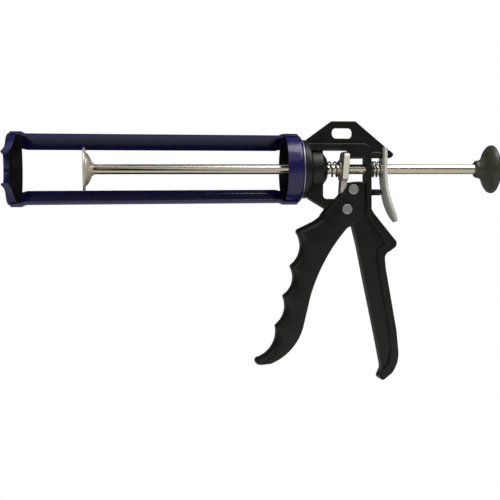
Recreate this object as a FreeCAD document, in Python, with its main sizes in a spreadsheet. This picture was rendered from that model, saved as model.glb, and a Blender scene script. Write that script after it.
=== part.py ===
"""Caulking gun with a cradle that turns, a lever-driven hexagonal rod and a cast body.

The model's frame: the rod's axis is the X axis and +X points back to the pull knob, +Z is up
and +Y is the gun's left side.  The origin is on the rod's axis, at the inner face of the
front cap, where a cartridge's shoulder rests.
"""
import FreeCAD, Part
import Sketcher
import math
import os

doc = FreeCAD.newDocument("CaulkingGun")
sheet = doc.addObject("Spreadsheet::Sheet", "Sizes")

SIZES = {
    # cradle: rolled steel sheet, tapering a little towards the rear
    "sheet_gauge": 1.2,
    "cap_radius": 28.4,
    "cap_length": 9.0,
    "cap_bend": 2.6,
    "cap_near_length": 6.8,
    "cap_near_corner": 4.2,
    "nozzle_slot_width": 23.0,
    "lip_height": 7.5,
    "lip_curve": 6.0,
    "flange_far_reach": 5.0,
    "lip_start": 22.0,
    "lip_end": 42.0,
    "flange_near_reach": 3.7,
    "strap_front_radius": 28.0,
    "strap_rear_radius": 27.1,
    "strap_near_angle": 22.0,
    "strap_far_angle": 53.0,
    "strap_front_end": 1.4,
    "strap_rear_end": 227.0,
    "joggle_run": 3.2,
    "collar_radius": 27.2,
    "collar_front": 216.6,
    "collar_rear": 230.0,
    "collar_bend": 3.4,
    # swivel: the collar's rear wall turns on the casting's spigot
    "spigot_radius": 14.0,
    "swivel_clearance": 0.06,
    "washer_radius": 23.7,
    "washer_gauge": 0.9,
    "bush_radius": 6.4,
    "retainer_radius": 18.5,
    "retainer_gauge": 2.0,
    "end_play": 0.05,
    # casting
    "flange_radius": 23.4,
    "flange_gauge": 3.6,
    "barrel_radius": 15.5,
    "barrel_rear": 247.6,
    "nose_rear": 251.2,
    "nose_radius": 8.6,
    "spring_pocket_radius": 7.2,
    "spring_pocket_depth": 5.2,
    "window_front": 247.7,
    "window_top": 15.2,
    "window_bottom": -23.8,
    "arm_top": 20.4,
    "pillar_front": 282.6,
    "pillar_rear": 286.8,
    "ledge_front": 269.3,
    "ledge_bottom": 8.8,
    "web_width": 12.4,
    "rim_width": 17.0,
    "plate_width": 5.6,
    "tongue_height": 12.0,
    "tongue_radius": 3.2,
    "tongue_rear": 296.5,
    "nose_width": 9.2,
    "rear_bush_radius": 5.9,
    "rear_bush_flange": 6.9,
    "rear_bush_lip": 1.3,
    "hang_slot_length": 16.8,
    "hang_slot_width": 8.3,
    "hang_slot_corner": 3.4,
    "stop_radius": 2.5,
    "stop_height": -18.6,
    "stop_rear": 297.0,
    # trigger linkage
    "pivot_reach": 266.4,
    "pivot_height": -32.3,
    "drive_reach": 271.6,
    "drive_height": -16.5,
    "pin_radius": 2.5,
    "head_radius": 4.1,
    "head_height": 1.0,
    "roller_radius": 4.6,
    "running_clearance": 0.05,
    "trigger_width": 19.0,
    "cheek_gap": 13.0,
    # drive plate
    "drive_gauge": 4.8,
    "drive_width": 20.0,
    "drive_corner": 5.0,
    "drive_foot_width": 11.6,
    "drive_top": 14.0,
    "drive_neck": -9.5,
    "drive_foot": -20.0,
    "drive_tilt": 4.5,
    "drive_face": 263.3,
    "seat_radius": 7.6,
    "seat_gauge": 1.0,
    # springs
    "spring_radius": 6.0,
    "spring_wire": 1.2,
    "return_turns": 4.0,
    "lever_turns": 3.0,
    # rod and plunger
    "rod_width": 7.9,
    "rod_front": 60.0,
    "rod_rear": 385.0,
    "stud_radius": 3.0,
    "rod_clearance": 0.05,
    "loose_clearance": 0.4,
    "dish_radius": 17.7,
    "dish_rim": 57.3,
    "dish_base": 59.4,
    "dish_back": 64.3,
    "dish_gauge": 1.2,
    "dome_radius": 13.4,
    "crown_radius": 6.4,
    "dome_curve": 12.0,
    "hub_radius": 5.2,
    "hub_length": 1.4,
    "nut_radius": 5.0,
    "nut_height": 2.4,
    # pull knob
    "knob_front": 374.0,
    "knob_rear": 395.2,
    "knob_radius": 19.6,
    "knob_neck_radius": 6.6,
    # release lever
    "lever_gauge": 2.4,
    "lever_face": 296.9,
    "lever_top": 17.4,
    "lever_bend_start": -3.0,
    "lever_bend_angle": 23.0,
    "lever_bend_radius": 84.0,
    "lever_tail": 7.6,
    "lever_top_width": 21.0,
    "lever_foot_width": 24.0,
}
for row, (alias, number) in enumerate(SIZES.items(), start=1):
    sheet.set(f"A{row}", alias)
    sheet.set(f"B{row}", str(number))
    sheet.setAlias(f"B{row}", alias)
doc.recompute()

NODES = []


def bound(text):
    """Turn a formula written with the sheet's words into an expression on its cells."""
    pieces = []
    word = ""
    for letter in text + " ":
        if letter.isalnum() or letter == "_":
            word += letter
            continue
        pieces.append(f"Sizes.{word}" if word in SIZES else word)
        pieces.append(letter)
        word = ""
    return "".join(pieces).strip()


def number(text):
    """The present value of such a formula."""
    return float(sheet.evalExpression(bound(str(text))))


def bind(feature, **formulas):
    """Bind each named property of a feature to a formula."""
    for name, formula in formulas.items():
        feature.setExpression(name, bound(str(formula)))


def keep(feature, label):
    """Mark a finished sub-part: its label is the node's name."""
    feature.Label = label
    NODES.append(feature)
    return feature


# ---------------------------------------------------------------- sketches and features

def new_body(label):
    body = doc.addObject("PartDesign::Body", label)
    return keep(body, label)


def new_sketch(body, role, shift="0", tilt="0"):
    """A sketch on one of the body's own origin planes, moved along the plane's normal
    by shift and turned about the sketch's own horizontal axis by tilt degrees."""
    sketch = body.newObject("Sketcher::SketchObject", f"{body.Label}_sketch")
    plane = [feature for feature in body.Origin.OriginFeatures if feature.Role == role][0]
    sketch.AttachmentSupport = [(plane, "")]
    sketch.MapMode = "FlatFace"
    turn = FreeCAD.Rotation(FreeCAD.Vector(1, 0, 0), number(tilt))
    sketch.AttachmentOffset = FreeCAD.Placement(FreeCAD.Vector(0, 0, number(shift)), turn)
    sketch.setExpression(".AttachmentOffset.Base.z", bound(shift))
    return sketch


def pin_point(sketch, geometry, end, across, up):
    """Hold one end of an edge at a place given by two formulas."""
    for kind, formula in (("DistanceX", across), ("DistanceY", up)):
        index = sketch.addConstraint(Sketcher.Constraint(kind, -1, 1, geometry, end, number(formula)))
        sketch.setExpression(f"Constraints[{index}]", bound(str(formula)))


def outline(sketch, corners):
    """A closed outline, walked with the material on the left.  Each corner is (across, up),
    or (across, up, radius) when the edge to the next corner is an arc: a positive radius
    bulges out of the material and a negative one bites into it."""
    places = [FreeCAD.Vector(number(corner[0]), number(corner[1]), 0) for corner in corners]
    edges = []
    for index, corner in enumerate(corners):
        start = places[index]
        end = places[(index + 1) % len(places)]
        if len(corner) == 2:
            edges.append(sketch.addGeometry(Part.LineSegment(start, end)))
            continue
        radius = number(corner[2])
        chord = end - start
        right = FreeCAD.Vector(chord.y, -chord.x, 0).normalize()
        reach = math.sqrt(max(radius ** 2 - chord.Length ** 2 / 4, 0))
        sag = math.copysign(abs(radius) - reach, radius)
        middle = (start + end) * 0.5 + right * sag
        ends = (start, end) if radius > 0 else (end, start)
        edges.append(sketch.addGeometry(Part.Arc(ends[0], middle, ends[1])))
    for index, corner in enumerate(corners):
        before = edges[index - 1]
        last = 1 if bites(corners[index - 1]) else 2
        first = 2 if bites(corner) else 1
        sketch.addConstraint(Sketcher.Constraint("Coincident", before, last, edges[index], first))
        pin_point(sketch, edges[index], first, corner[0], corner[1])
        chord = (places[(index + 1) % len(places)] - places[index]).Length
        half_circle = len(corner) == 3 and chord > 1.999 * abs(number(corner[2]))
        if len(corner) == 3 and not half_circle:
            hold_radius(sketch, edges[index], f"abs({corner[2]})")
    return edges


def bites(corner):
    """True when the edge that leaves a corner is an arc that bites into the material."""
    return len(corner) == 3 and number(corner[2]) < 0


def hold_radius(sketch, edge, formula):
    index = sketch.addConstraint(Sketcher.Constraint("Radius", edge, number(formula)))
    sketch.setExpression(f"Constraints[{index}]", bound(formula))


def ring(sketch, across, up, radius):
    """A circle placed and sized by formulas."""
    centre = FreeCAD.Vector(number(across), number(up), 0)
    edge = sketch.addGeometry(Part.Circle(centre, FreeCAD.Vector(0, 0, 1), number(radius)))
    pin_point(sketch, edge, 3, across, up)
    hold_radius(sketch, edge, str(radius))
    return edge


def rectangle(sketch, low_across, high_across, low_up, high_up):
    outline(sketch, [
        (low_across, low_up), (high_across, low_up),
        (high_across, high_up), (low_across, high_up),
    ])


def hexagon(sketch, width):
    """A hexagon about the rod's axis on a sketch that looks along it, flats up and down."""
    half = f"({width}) / 2"
    tip = f"({width}) / sqrt(3)"
    outline(sketch, [
        (tip, "0"), (f"{tip} / 2", half), (f"-{tip} / 2", half),
        (f"-{tip}", "0"), (f"-{tip} / 2", f"-{half}"), (f"{tip} / 2", f"-{half}"),
    ])


def solid_volume(body):
    doc.recompute()
    return body.Shape.Volume


def feature_of(body, kind, sketch, **formulas):
    feature = body.newObject(kind, f"{body.Label}_{kind.split('::')[1].lower()}")
    feature.Profile = sketch
    bind(feature, **formulas)
    return feature


def pad(body, sketch, length, symmetric=True):
    feature = feature_of(body, "PartDesign::Pad", sketch, Length=length)
    feature.SideType = "Symmetric" if symmetric else "One side"
    return feature


def pocket(body, sketch, length, symmetric=True, reverse=False):
    """A pocket; it has to take something away."""
    before = solid_volume(body)
    feature = feature_of(body, "PartDesign::Pocket", sketch, Length=length)
    feature.SideType = "Symmetric" if symmetric else "One side"
    feature.Reversed = reverse
    after = solid_volume(body)
    assert after < before - 0.01, f"{sketch.Label} cuts nothing"
    return feature


def revolve(body, sketch, angle="360"):
    feature = feature_of(body, "PartDesign::Revolution", sketch, Angle=angle)
    feature.ReferenceAxis = (sketch, ["H_Axis"])
    return feature


def hex_bored(body, clearance):
    """Cut the rod's hexagonal hole through the whole body."""
    sketch = new_sketch(body, "YZ_Plane")
    hexagon(sketch, f"rod_width + 2 * {clearance}")
    pocket(body, sketch, "1200")


# ---------------------------------------------------------------- cradle

def make_front_cap():
    """A pressed cup.  A flange stands forward round the slot that the nozzle drops into."""
    body = new_body("front_cap")
    cup = new_sketch(body, "XZ_Plane")
    outline(cup, [
        ("-sheet_gauge", "0"),
        ("0", "0"),
        ("0", "cap_radius - cap_bend", "sheet_gauge - cap_bend"),
        ("cap_bend - sheet_gauge", "cap_radius - sheet_gauge"),
        ("cap_length", "cap_radius - sheet_gauge"),
        ("cap_length", "cap_radius"),
        ("cap_bend - sheet_gauge", "cap_radius", "cap_bend"),
        ("-sheet_gauge", "cap_radius - cap_bend"),
    ])
    revolve(body, cup)

    # a flange stands forward all along the slot's edge, held by a lip at each near end
    slot_edge = "(nozzle_slot_width / 2)"
    flange = new_sketch(body, "YZ_Plane", shift="-flange_far_reach")
    slot_outline(flange, f"({slot_edge} + sheet_gauge)")
    pad(body, flange, "flange_far_reach - 0.2", symmetric=False)
    for start in ("90 - lip_end", "90 + lip_start"):
        lip = new_sketch(body, "XZ_Plane", tilt=start)
        rectangle(lip, "-flange_far_reach", "cap_bend", "cap_radius - sheet_gauge", "cap_radius")
        revolve(body, lip, "lip_end - lip_start")
    before_lip = [
        ("-2 * flange_far_reach", f"{slot_edge} + sheet_gauge"),
        ("-flange_far_reach", f"{slot_edge} + sheet_gauge", "lip_curve"),
        ("-sheet_gauge", f"{slot_edge} + lip_height"),
        ("-sheet_gauge", "cap_radius + 2"),
        ("-2 * flange_far_reach", "cap_radius + 2"),
    ]
    for corners in (before_lip, mirrored(before_lip)):
        front = new_sketch(body, "XZ_Plane")
        outline(front, corners)
        pocket(body, front, "cap_radius + 1", symmetric=False, reverse=True)

    # the flange's front edge leans back towards the loading side
    lean = new_sketch(body, "XY_Plane")
    outline(lean, [
        ("-2 * flange_far_reach", "-cap_radius - 2"),
        ("-flange_near_reach", "-cap_radius - 2"),
        ("-flange_far_reach - 0.05", "nozzle_slot_width / 2 + 2"),
        ("-2 * flange_far_reach", "nozzle_slot_width / 2 + 2"),
    ])
    pocket(body, lean, "4 * cap_radius")
    trim = new_sketch(body, "YZ_Plane", shift="-2 * flange_far_reach")
    rectangle(trim, "-2 * cap_radius", "2 * cap_radius", "-2 * cap_radius", "2 * cap_radius")
    ring(trim, "0", "0", "cap_radius - 0.05")
    pocket(body, trim, "2 * flange_far_reach + 0.4", symmetric=False, reverse=True)

    slot = new_sketch(body, "YZ_Plane")
    slot_outline(slot, slot_edge)
    pocket(body, slot, "4 * cap_length")

    # the ring is shorter across the loading window, between the two straps
    window = new_sketch(body, "XZ_Plane")
    half_window = "(cap_radius * cos(strap_near_angle * 1deg))"
    outline(window, [
        ("cap_length + 1", f"-{half_window}"),
        ("cap_length + 1", half_window),
        ("cap_near_length", half_window),
        ("cap_near_corner", f"{slot_edge} + 4.5"),
        ("cap_bend - sheet_gauge", slot_edge),
        ("cap_bend - sheet_gauge", f"-{slot_edge}"),
        ("cap_near_corner", f"-{slot_edge} - 4.5"),
        ("cap_near_length", f"-{half_window}"),
    ])
    pocket(body, window, "cap_radius + 1", symmetric=False, reverse=True)


def slot_outline(sketch, half_width):
    """A slot across the front plate, from the near side to a round end at the rod's axis."""
    outline(sketch, [
        ("-cap_radius - 5", f"-{half_width}"),
        ("0", f"-{half_width}", half_width),
        ("0", half_width),
        ("-cap_radius - 5", half_width),
    ])


def mirrored(corners):
    """The same outline reflected below the rod's axis, still with the material on the left."""
    turned = []
    for index in reversed(range(len(corners))):
        across, up = corners[index][:2]
        turned.append((across, f"-({up})", *corners[index - 1][2:]))
    return turned


def make_strap(label, start):
    """A rolled strip along the cradle, joggled out at both ends to lie on the two rings."""
    body = new_body(label)
    strip = new_sketch(body, "XZ_Plane", tilt=start)
    front_step = "cap_length + 0.6"
    rear_step = "collar_front - 0.6"
    outline(strip, [
        ("strap_front_end", "cap_radius"),
        (front_step, "cap_radius"),
        (f"{front_step} + joggle_run", "strap_front_radius - sheet_gauge"),
        (f"{rear_step} - joggle_run", "strap_rear_radius - sheet_gauge"),
        (rear_step, "collar_radius"),
        ("strap_rear_end", "collar_radius"),
        ("strap_rear_end", "collar_radius + sheet_gauge"),
        (f"{rear_step} - 0.4", "collar_radius + sheet_gauge"),
        (f"{rear_step} - joggle_run - 0.4", "strap_rear_radius"),
        (f"{front_step} + joggle_run + 0.4", "strap_front_radius"),
        (f"{front_step} + 0.4", "cap_radius + sheet_gauge"),
        ("strap_front_end", "cap_radius + sheet_gauge"),
    ])
    revolve(body, strip, "strap_near_angle + strap_far_angle")


def make_rear_collar():
    """A ring with a rear wall, bored to turn on the casting's spigot."""
    body = new_body("rear_collar")
    cup = new_sketch(body, "XZ_Plane")
    bore = "spigot_radius + swivel_clearance"
    outline(cup, [
        ("collar_front", "collar_radius - sheet_gauge"),
        ("collar_rear - collar_bend", "collar_radius - sheet_gauge", "sheet_gauge - collar_bend"),
        ("collar_rear - sheet_gauge", "collar_radius - collar_bend"),
        ("collar_rear - sheet_gauge", bore),
        ("collar_rear", bore),
        ("collar_rear", "collar_radius - collar_bend", "collar_bend"),
        ("collar_rear - collar_bend", "collar_radius"),
        ("collar_front", "collar_radius"),
    ])
    revolve(body, cup)


# ---------------------------------------------------------------- swivel and bushes

FLANGE_FRONT = "(collar_rear + 2 * end_play + washer_gauge)"
SPIGOT_FRONT = "(collar_rear - sheet_gauge - end_play)"
RETAINER_FRONT = f"({SPIGOT_FRONT} - retainer_gauge)"
POCKET_FRONT = "(nose_rear - spring_pocket_depth)"


def make_tube(label, front, rear, inner, outer):
    """A plain ring about the rod's axis."""
    body = new_body(label)
    section = new_sketch(body, "XZ_Plane")
    rectangle(section, front, rear, inner, outer)
    revolve(body, section)
    return body


def make_swivel():
    """The washer and the retainer on either side of the collar's rear wall."""
    washer_front = "collar_rear + end_play"
    make_tube("swivel_washer", washer_front, f"{washer_front} + washer_gauge",
              "spigot_radius + 0.1", "washer_radius")
    make_tube("cradle_retainer", RETAINER_FRONT, SPIGOT_FRONT, "bush_radius", "retainer_radius")


def make_front_bush():
    """The long bush inside the barrel, with the rod's hexagon through it."""
    body = new_body("front_bush")
    section = new_sketch(body, "XZ_Plane")
    rectangle(section, RETAINER_FRONT, POCKET_FRONT, "0", "bush_radius")
    revolve(body, section)
    hex_bored(body, "rod_clearance")


def make_rear_bush():
    """The flanged bush in the pillar; its flange seats the lever's spring."""
    body = new_body("rear_bush")
    section = new_sketch(body, "XZ_Plane")
    outline(section, [
        ("pillar_front", "0"),
        ("pillar_rear + rear_bush_lip", "0"),
        ("pillar_rear + rear_bush_lip", "rear_bush_flange"),
        ("pillar_rear", "rear_bush_flange"),
        ("pillar_rear", "rear_bush_radius"),
        ("pillar_front", "rear_bush_radius"),
    ])
    revolve(body, section)
    hex_bored(body, "rod_clearance")


# ---------------------------------------------------------------- casting

def make_casting():
    """Flange, barrel, arm, hanging plate, tongue, pillar and handle in one casting."""
    body = new_body("frame_casting")
    cast_barrel(body)
    cast_web(body)
    cast_rim(body)
    cast_hanging_plate(body)
    cast_tongue(body)
    casting_bores(body)


def cast_barrel(body):
    """Spigot, flange and barrel, solid until the bores are cut."""
    section = new_sketch(body, "XZ_Plane")
    outline(section, [
        (SPIGOT_FRONT, "0"),
        ("nose_rear", "0"),
        ("nose_rear", "nose_radius"),
        ("barrel_rear", "barrel_radius - 2"),
        ("barrel_rear - 1", "barrel_radius"),
        (f"{FLANGE_FRONT} + flange_gauge + 4.4", "barrel_radius"),
        (f"{FLANGE_FRONT} + flange_gauge + 2", "flange_radius - 2.6"),
        (f"{FLANGE_FRONT} + flange_gauge", "flange_radius - 2"),
        (f"{FLANGE_FRONT} + flange_gauge", "flange_radius"),
        (FLANGE_FRONT, "flange_radius"),
        (FLANGE_FRONT, "spigot_radius"),
        (SPIGOT_FRONT, "spigot_radius"),
    ])
    revolve(body, section)


def cast_web(body):
    """The thin inner web: under the window, round the trigger's pivot and down the handle."""
    web = new_sketch(body, "XZ_Plane")
    outline(web, [
        ("236", "-23.2"),
        ("239.2", "-25.4"),
        ("250.4", "-32.2"),
        ("pivot_reach - 9.4", "pivot_height - 6.2", "11.3"),
        ("pivot_reach + 1.4", "pivot_height - 11.2"),
        ("272.2", "-46.4"),
        ("276.1", "-62.2"),
        ("280.8", "-86.4"),
        ("290.7", "-134.9"),
        ("295.2", "-158.5"),
        ("295", "-165"),
        ("300", "-166"),
        ("305", "-146"),
        ("303.5", "-130"),
        ("295", "-82"),
        ("294.4", "-68"),
        ("301.5", "-60"),
        ("285", "-38"),
        ("285", "window_bottom"),
        ("window_front + 3", "window_bottom", "-3"),
        ("window_front", "window_bottom + 3"),
        ("window_front", "17"),
        ("236", "17"),
    ])
    pad(body, web, "web_width")


def cast_rim(body):
    """The thick rim: top arm, pillar, hand spur and the handle's back, down to its toe.
    The arm carries a ledge that the drive plate's top edge bears on."""
    rim = new_sketch(body, "XZ_Plane")
    outline(rim, [
        ("234.8", "window_top"),
        ("ledge_front", "window_top"),
        ("ledge_front", "ledge_bottom"),
        ("pillar_front", "ledge_bottom"),
        ("pillar_front", "-37.4"),
        ("294.8", "-53.4"),
        ("297.8", "-59.8"),
        ("291.4", "-65.8"),
        ("291.4", "-70"),
        ("292.8", "-82"),
        ("301.3", "-131", "70"),
        ("302.4", "-146"),
        ("300.2", "-156.6"),
        ("295.6", "-161.4"),
        ("293.6", "-166.2", "2.4"),
        ("297.2", "-169.3"),
        ("303.3", "-164.4", "26"),
        ("308.5", "-147"),
        ("307", "-130.4"),
        ("298.3", "-80"),
        ("297.6", "-72.6", "-6"),
        ("301.4", "-66.3"),
        ("305.2", "-63.7", "4.6"),
        ("305.4", "-56.2"),
        ("288.6", "-35.4"),
        ("pillar_rear", "-32"),
        ("pillar_rear", "arm_top - 7", "7"),
        ("pillar_rear - 7", "arm_top"),
        ("234.8", "arm_top"),
    ])
    pad(body, rim, "rim_width")


def cast_hanging_plate(body):
    """The thin plate over the arm with its hanging slot; it runs back into the tongue."""
    plate = new_sketch(body, "XZ_Plane")
    outline(plate, [
        ("234.8", "17"),
        ("286", "17"),
        ("286", "tongue_height - tongue_radius + 0.1"),
        ("302.6", "tongue_height - tongue_radius + 0.1", "3.4"),
        ("305.5", "12.6"),
        ("275.8", "37.8", "2.4"),
        ("274.2", "38.5"),
        ("256.2", "38.5", "3"),
        ("254.2", "37.7"),
        ("234.8", "23.6"),
    ])
    pad(body, plate, "plate_width")

    slot = new_sketch(body, "XZ_Plane")
    middle = "264"
    height = "28.8"
    half_length = "hang_slot_length / 2"
    half_width = "hang_slot_width / 2"
    corner = "hang_slot_corner"
    outline(slot, [
        (f"{middle} - {half_length} + {corner}", f"{height} - {half_width}"),
        (f"{middle} + {half_length} - {corner}", f"{height} - {half_width}", corner),
        (f"{middle} + {half_length}", f"{height} - {half_width} + {corner}"),
        (f"{middle} + {half_length}", f"{height} + {half_width} - {corner}", corner),
        (f"{middle} + {half_length} - {corner}", f"{height} + {half_width}"),
        (f"{middle} - {half_length} + {corner}", f"{height} + {half_width}", corner),
        (f"{middle} - {half_length}", f"{height} + {half_width} - {corner}"),
        (f"{middle} - {half_length}", f"{height} - {half_width} + {corner}", corner),
    ])
    pocket(body, slot, "40")


def cast_tongue(body):
    """The round bar behind the pillar, and the wide nose that keeps the lever on the tongue."""
    bar = new_sketch(body, "YZ_Plane", shift="pillar_rear - 1")
    ring(bar, "0", "tongue_height", "tongue_radius")
    pad(body, bar, "tongue_rear - pillar_rear + 1", symmetric=False)

    nose = new_sketch(body, "XZ_Plane")
    outline(nose, [
        ("lever_face + lever_gauge + 0.7", "tongue_height - tongue_radius + 0.1"),
        ("302.6", "tongue_height - tongue_radius + 0.1", "3.4"),
        ("305.5", "12.6"),
        ("302.4", "15.2"),
        ("lever_face + lever_gauge + 0.7", "15.2"),
    ])
    pad(body, nose, "nose_width")


def casting_bores(body):
    """The bores along the rod for both bushes and the return spring, and the pivot's cross hole."""
    bores = (
        (SPIGOT_FRONT, POCKET_FRONT, "bush_radius"),
        (POCKET_FRONT, "nose_rear", "spring_pocket_radius"),
        ("(pillar_front - 1)", "(pillar_rear + 1)", "rear_bush_radius"),
    )
    for front, rear, radius in bores:
        bore = new_sketch(body, "YZ_Plane", shift=front)
        ring(bore, "0", "0", radius)
        pocket(body, bore, f"{rear} - {front}", symmetric=False, reverse=True)

    cross = new_sketch(body, "XZ_Plane")
    ring(cross, "pivot_reach", "pivot_height", "pin_radius + running_clearance")
    pocket(body, cross, "60")


def make_lever_stop():
    """The stub behind the pillar that the release lever comes to rest against."""
    body = new_body("lever_stop")
    section = new_sketch(body, "XZ_Plane")
    outline(section, [
        ("pillar_rear", "0"),
        ("stop_rear", "0", "stop_radius"),
        ("stop_rear - stop_radius", "stop_radius"),
        ("pillar_rear", "stop_radius"),
    ])
    revolve(body, section)
    bind(body, **{"Placement.Base.z": "stop_height"})


# ---------------------------------------------------------------- trigger

def make_rivet(label, reach, height):
    """A cross pin with a flat head at each end, about the trigger's cheeks."""
    body = new_body(label)
    half = "(trigger_width / 2)"
    section = new_sketch(body, "XY_Plane")
    outline(section, [
        ("0", f"-{half} - head_height"),
        ("head_radius", f"-{half} - head_height"),
        ("head_radius", f"-{half} - running_clearance"),
        ("pin_radius", f"-{half} - running_clearance"),
        ("pin_radius", f"{half} + running_clearance"),
        ("head_radius", f"{half} + running_clearance"),
        ("head_radius", f"{half} + head_height"),
        ("0", f"{half} + head_height"),
    ])
    turned = feature_of(body, "PartDesign::Revolution", section, Angle="360")
    turned.ReferenceAxis = (section, ["V_Axis"])
    bind(body, **{"Placement.Base.x": reach, "Placement.Base.z": height})


def make_drive_roller():
    """The roller between the cheeks that pushes the drive plate's foot."""
    body = new_body("drive_roller")
    section = new_sketch(body, "XZ_Plane")
    ring(section, "drive_reach", "drive_height", "roller_radius")
    ring(section, "drive_reach", "drive_height", "pin_radius + running_clearance")
    pad(body, section, "cheek_gap - 0.8")


def make_trigger():
    """The cast trigger: four finger grooves, a toe, and two cheeks about the web."""
    body = new_body("trigger")
    side = new_sketch(body, "XZ_Plane")
    outline(side, [
        ("273.4", "-10.1", "8"),
        ("265.8", "-14.6"),
        ("261.8", "-21"),
        ("251", "-31.7"),
        ("246", "-38"),
        ("240.4", "-41.9"),
        ("228.4", "-47.6", "3"),
        ("226.6", "-51", "-18.8"),
        ("222.6", "-76.2", "2.4"),
        ("221.8", "-79", "-16.5"),
        ("216.6", "-100.2", "2.4"),
        ("215.8", "-103", "-18.6"),
        ("210", "-124.2", "2.4"),
        ("209.4", "-127", "-21.6"),
        ("194.2", "-150.6", "2.6"),
        ("196.2", "-156"),
        ("204.4", "-155.1", "43.6"),
        ("230.8", "-125.9"),
        ("236.6", "-101.9", "-144"),
        ("266.6", "-47.4"),
        ("pivot_reach + 10", "pivot_height - 9.6"),
        ("280.2", "pivot_height - 2"),
        ("281.2", "-12.6", "2.6"),
        ("278.8", "-10.1"),
    ])
    pad(body, side, "trigger_width")

    fork = new_sketch(body, "XZ_Plane")
    outline(fork, [
        ("246.5", "-35"),
        ("253.5", "-41.5"),
        ("262", "-48.9"),
        ("290", "-50.9"),
        ("290", "0"),
        ("246.5", "0"),
    ])
    pocket(body, fork, "cheek_gap")

    holes = new_sketch(body, "XZ_Plane")
    for reach, height in (("pivot_reach", "pivot_height"), ("drive_reach", "drive_height")):
        ring(holes, reach, height, "pin_radius + running_clearance")
    pocket(body, holes, "60")


# ---------------------------------------------------------------- drive plate and springs

def make_drive_plate():
    """The leaning plate on the rod: wide above, with a narrow foot between the cheeks."""
    body = new_body("drive_plate")
    face = new_sketch(body, "YZ_Plane")
    half_top = "drive_width / 2"
    half_foot = "drive_foot_width / 2"
    outline(face, [
        (f"-{half_foot}", "drive_foot + 2", "2"),
        (f"-{half_foot} + 2", "drive_foot"),
        (f"{half_foot} - 2", "drive_foot", "2"),
        (half_foot, "drive_foot + 2"),
        (half_foot, "drive_neck"),
        (half_top, "drive_neck + 1.6"),
        (half_top, "drive_top - drive_corner", "drive_corner"),
        (f"{half_top} - drive_corner", "drive_top"),
        (f"-{half_top} + drive_corner", "drive_top", "drive_corner"),
        (f"-{half_top}", "drive_top - drive_corner"),
        (f"-{half_top}", "drive_neck + 1.6"),
        (f"-{half_foot}", "drive_neck"),
    ])
    pad(body, face, "drive_gauge", symmetric=False)
    hex_bored(body, "loose_clearance")
    lean = FreeCAD.Rotation(FreeCAD.Vector(0, 1, 0), number("drive_tilt"))
    body.Placement = FreeCAD.Placement(FreeCAD.Vector(number("drive_face"), 0, 0), lean)
    bind(body, **{"Placement.Base.x": "drive_face"})


def make_spring(label, front, rear, turns):
    """A coil spring about the rod: a round wire swept along a helix, turn by turn."""
    length = f"({rear} - ({front}) - spring_wire)"
    helix = doc.addObject("Part::Helix", f"{label}_helix")
    helix.SegmentLength = 1
    bind(helix, Radius="spring_radius", Height=length, Pitch=f"{length} / {turns}")
    wire = doc.addObject("Part::Circle", f"{label}_wire")
    bind(wire, Radius="spring_wire / 2")
    upright = FreeCAD.Rotation(FreeCAD.Vector(1, 0, 0), 90)
    wire.Placement = FreeCAD.Placement(FreeCAD.Vector(number("spring_radius"), 0, 0), upright)
    doc.recompute()
    coil = doc.addObject("Part::Sweep", label)
    coil.Sections = [wire]
    coil.Spine = (helix, [f"Edge{turn + 1}" for turn in range(len(helix.Shape.Edges))])
    coil.Solid = True
    coil.Frenet = True
    along = FreeCAD.Rotation(FreeCAD.Vector(0, 1, 0), 90)
    start = number(f"{front} + spring_wire / 2")
    coil.Placement = FreeCAD.Placement(FreeCAD.Vector(start, 0, 0), along)
    keep(coil, label)


# ---------------------------------------------------------------- rod, plunger and knob

def make_rod():
    """The hexagonal rod with a round stud in front for the dish."""
    body = new_body("rod")
    section = new_sketch(body, "YZ_Plane", shift="dish_back")
    hexagon(section, "rod_width")
    pad(body, section, "rod_rear - dish_back", symmetric=False)
    stud = new_sketch(body, "YZ_Plane", shift="rod_front")
    ring(stud, "0", "0", "stud_radius")
    pad(body, stud, "dish_back - rod_front", symmetric=False)


def make_plunger_dish():
    """The stamped dish: a flat rim with a small lip, domed back to the rod."""
    body = new_body("plunger_dish")
    section = new_sketch(body, "XZ_Plane")
    bore = "stud_radius + rod_clearance"
    outline(section, [
        ("dish_back - dish_gauge", bore),
        ("dish_back", bore),
        ("dish_back", "crown_radius", "dome_curve"),
        ("dish_base", "dome_radius"),
        ("dish_base", "dish_radius - 0.8"),
        ("dish_rim + 1.2", "dish_radius"),
        ("dish_rim", "dish_radius"),
        ("dish_rim", "dish_radius - 1"),
        ("dish_base - dish_gauge", "dish_radius - 1.9"),
        ("dish_base - dish_gauge", "dome_radius - 0.5", "dish_gauge - dome_curve"),
        ("dish_back - dish_gauge", "crown_radius - 0.5"),
    ])
    revolve(body, section)


def make_plunger_fixings():
    """The collar behind the dish and the nut in its hollow."""
    hub = new_body("plunger_hub")
    section = new_sketch(hub, "XZ_Plane")
    rectangle(section, "dish_back", "dish_back + hub_length", "0", "hub_radius")
    revolve(hub, section)
    hex_bored(hub, "rod_clearance")

    nut = new_body("plunger_nut")
    face = new_sketch(nut, "YZ_Plane", shift="dish_back - dish_gauge - nut_height")
    hexagon(face, "2 * nut_radius")
    ring(face, "0", "0", "stud_radius + rod_clearance")
    pad(nut, face, "nut_height", symmetric=False)


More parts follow.
